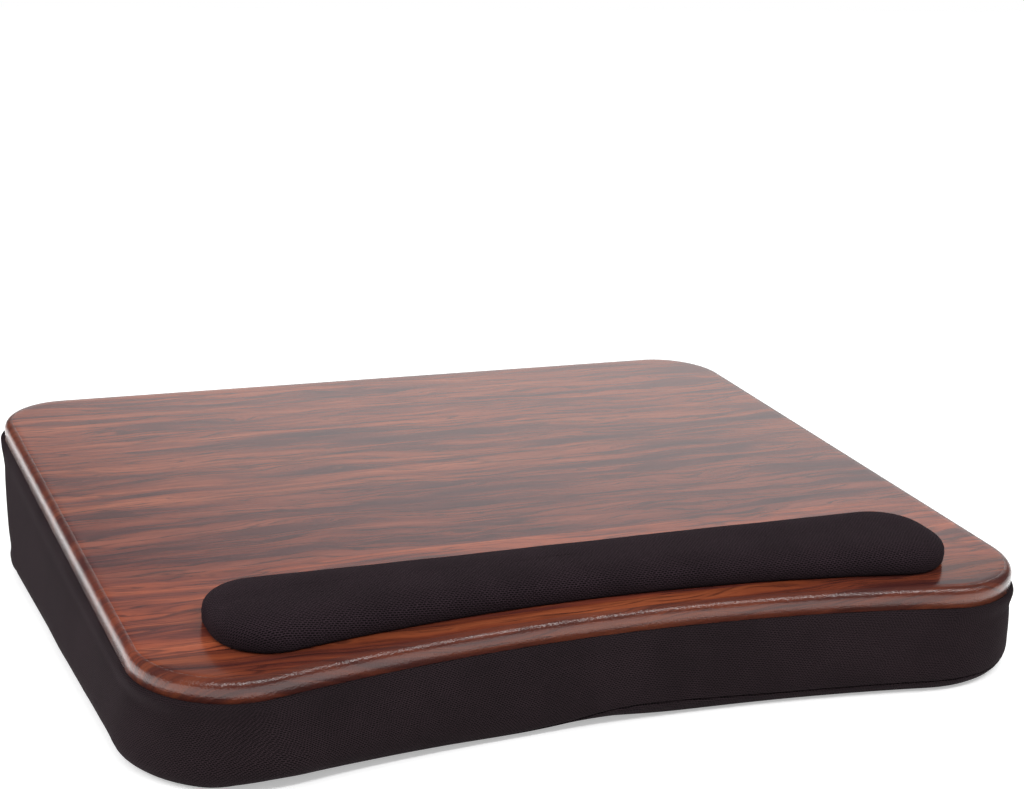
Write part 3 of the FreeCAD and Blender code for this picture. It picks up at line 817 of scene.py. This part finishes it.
def make_foams():
    """The foams: a soft layer on the lap's side, a firm wedge on it, and the wrist rest's core."""
    cream = speckled("memory_foam", srgb(238, 232, 214), srgb(222, 214, 192), 0.0008, 0.95)
    grey = speckled("firm_foam", srgb(214, 217, 222), srgb(196, 199, 205), 0.0012, 0.95)
    # Half of the thin gap between the two foams
    apart = 0.2
    count = len(cushion_outline(1, 0))
    layer = bottom_rings([np.full(count, turn) for turn in np.linspace(0, math.pi / 2, 6)], FOAM_GAP)
    layer.append(tilted(side_points(0, FOAM_GAP), JOINT_HEIGHT - apart, 0))
    foam_piece("memory_foam_layer_soft", layer, cream, "memory_foam_layer")
    wedge = []
    for rise in np.linspace(0, 1, 5):
        points = side_points(rise, FOAM_GAP)
        wedge.append(tilted(points, side_height(rise) + apart, NECK_TILT * rise))
    # The wedge's top has a blunt edge, so that it stays inside the hem
    wedge.append(on_slope(cushion_outline(0, FOAM_GAP + 0.6), 0, -FOAM_GAP - 1.6))
    wedge.append(on_slope(cushion_outline(0, FOAM_GAP + 2.4), 0, -FOAM_GAP))
    foam_piece("foam_wedge_soft", wedge, grey, "foam_wedge")
    # The wrist rest's core starts above its base, where the cover's tuck has opened
    insets, heights = wrist_profile(WRIST_SKIN, WRIST_BASE_TOP)
    pad = [
        on_slope(wrist_outline(inset), WRIST_MIDDLE, BOARD_TOP + height)
        for inset, height in zip(insets[2:], heights[2:])
    ]
    foam_piece("wrist_foam_soft", pad, cream, "wrist_rest_foam")


def dress_hidden_nodes():
    """Materials for the CAD nodes that stay: the core, the plate and the thin sheets."""
    looks = {
        "board_core": speckled("fibreboard", srgb(150, 112, 78), srgb(118, 84, 56), 0.0006, 0.85),
        "board_backer": speckled("backing_paper", srgb(96, 70, 54), srgb(80, 58, 46), 0.0004, 0.8),
        "cushion_glue": speckled("glue", srgb(214, 204, 172), srgb(196, 184, 150), 0.002, 0.5),
        "cushion_top_panel": speckled("lining", srgb(34, 30, 32), srgb(22, 19, 21), 0.0005, 0.95),
        "wrist_rest_base": speckled("plate", srgb(40, 40, 42), srgb(32, 32, 34), 0.0005, 0.6),
        "wrist_rest_tape": speckled("tape", srgb(232, 232, 228), srgb(218, 218, 214), 0.0006, 0.8),
    }
    for node, material in looks.items():
        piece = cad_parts[node]
        for slot in piece.material_slots:
            slot.material = material


# Stage: floor, light and camera


def make_floor():
    """A pale floor with the desk's shadow: its own glow keeps it white to the camera."""
    mesh = bpy.data.meshes.new("floor")
    near, far = -FLOOR_REACH, FLOOR_REACH
    corners = [(near, near, 0), (far, near, 0), (far, far, 0), (near, far, 0)]
    mesh.from_pydata(corners, [], [(0, 1, 2, 3)])
    floor = bpy.data.objects.new("floor", mesh)
    bpy.context.scene.collection.objects.link(floor)
    n = Surface("floor")
    n.set(Base_Color=(0.86, 0.86, 0.86, 1), Roughness=0.9, Specular_IOR_Level=0.0)
    path = n.add("ShaderNodeLightPath")
    seen = n.math("MAXIMUM", path.outputs["Is Camera Ray"], path.outputs["Is Glossy Ray"])
    glow = n.add("ShaderNodeEmission")
    n.link(n.math("MULTIPLY", seen, FLOOR_GLOW), glow.inputs["Strength"])
    both = n.add("ShaderNodeAddShader")
    n.link(n.shader.outputs[0], both.inputs[0])
    n.link(glow.outputs[0], both.inputs[1])
    n.link(both.outputs[0], n.tree.nodes["Material Output"].inputs["Surface"])
    mesh.materials.append(n.material)


def make_world():
    """A plain studio: white to the camera, and for reflections a glow behind the desk in a dim room."""
    world = bpy.data.worlds.new("studio")
    bpy.context.scene.world = world
    n = Nodes(world)
    direction = n.add("ShaderNodeTexCoord").outputs["Generated"]
    facing = n.add("ShaderNodeVectorMath", operation="DOT_PRODUCT")
    n.link(direction, facing.inputs[0])
    facing.inputs[1].default_value = (math.sin(GLOW_HEADING), math.cos(GLOW_HEADING), 0)
    split = n.add("ShaderNodeSeparateXYZ")
    n.link(direction, split.inputs[0])
    height = split.outputs["Z"]
    # Reflections see the glow, which starts a little above the floor
    room = n.spread(facing.outputs["Value"], GLOW_EDGE, GLOW_MIDDLE, ROOM_LEVEL, GLOW_LEVEL)
    foot = n.spread(height, GLOW_FOOT, GLOW_CLEAR, ROOM_LEVEL, 1.0)
    reflected = n.math("MULTIPLY", room, foot)
    # Matt surfaces are lit by a sky that is lighter above
    sky = n.spread(height, 0.0, 1.0, SKY_LOW, SKY_TOP, curve="LINEAR")
    path = n.add("ShaderNodeLightPath")
    lighting = n.choose(path.outputs["Is Glossy Ray"], sky, reflected)
    background = n.tree.nodes["Background"]
    background.inputs["Color"].default_value = (1, 1, 1, 1)
    n.link(n.choose(path.outputs["Is Camera Ray"], lighting, 1.0), background.inputs["Strength"])


def make_lamp(name, place, aim, size, power):
    """A rectangular lamp at a place in metres, turned to its aim: its power is in watts."""
    data = bpy.data.lights.new(name, "AREA")
    data.shape = "RECTANGLE"
    data.size, data.size_y = size
    data.energy = power
    lamp = bpy.data.objects.new(name, data)
    bpy.context.scene.collection.objects.link(lamp)
    lamp.location = place
    lamp.rotation_euler = (Vector(aim) - Vector(place)).to_track_quat("-Z", "Y").to_euler()
    return lamp


def make_camera():
    """The photograph's viewing angle, from the board's corners and edges."""
    yaw, pitch, roll = (math.radians(angle) for angle in (CAMERA_YAW, CAMERA_PITCH, CAMERA_ROLL))
    forward = Vector((
        math.sin(yaw) * math.cos(pitch), math.cos(yaw) * math.cos(pitch), -math.sin(pitch)
    ))
    level = Vector((math.cos(yaw), -math.sin(yaw), 0))
    upright = level.cross(forward)
    right = math.cos(roll) * level + math.sin(roll) * upright
    up = math.cos(roll) * upright - math.sin(roll) * level
    data = bpy.data.cameras.new("camera")
    data.lens = CAMERA_LENS
    data.sensor_width = 36
    data.sensor_fit = "HORIZONTAL"
    data.shift_x = CAMERA_SHIFT_X
    data.clip_start = 0.01
    data.clip_end = 50
    camera = bpy.data.objects.new("camera", data)
    bpy.context.scene.collection.objects.link(camera)
    turn = Matrix((right, up, -forward)).transposed().to_4x4()
    camera.matrix_world = Matrix.Translation(CAMERA_PLACE) @ turn
    bpy.context.scene.camera = camera


# The whole scene

bpy.context.scene.view_settings.view_transform = "Standard"
mesh_fabric = knitted_mesh()
make_board_film()
make_side_band(mesh_fabric)
make_bottom_panel(mesh_fabric)
make_wrist_rest()
make_foams()
dress_hidden_nodes()
make_floor()
make_world()
make_lamp("front_strip", place=(0.1, -0.95, 1.05), aim=(0, -0.1, 0.05), size=(2.4, 0.15), power=14)
left_lamp = make_lamp("left", place=(-1.7, 0.35, 0.8), aim=(0, 0, 0.05), size=(1.0, 1.0), power=18)
# The left lamp lights the side, and stays out of the board's reflections
left_lamp.visible_glossy = False
make_camera()
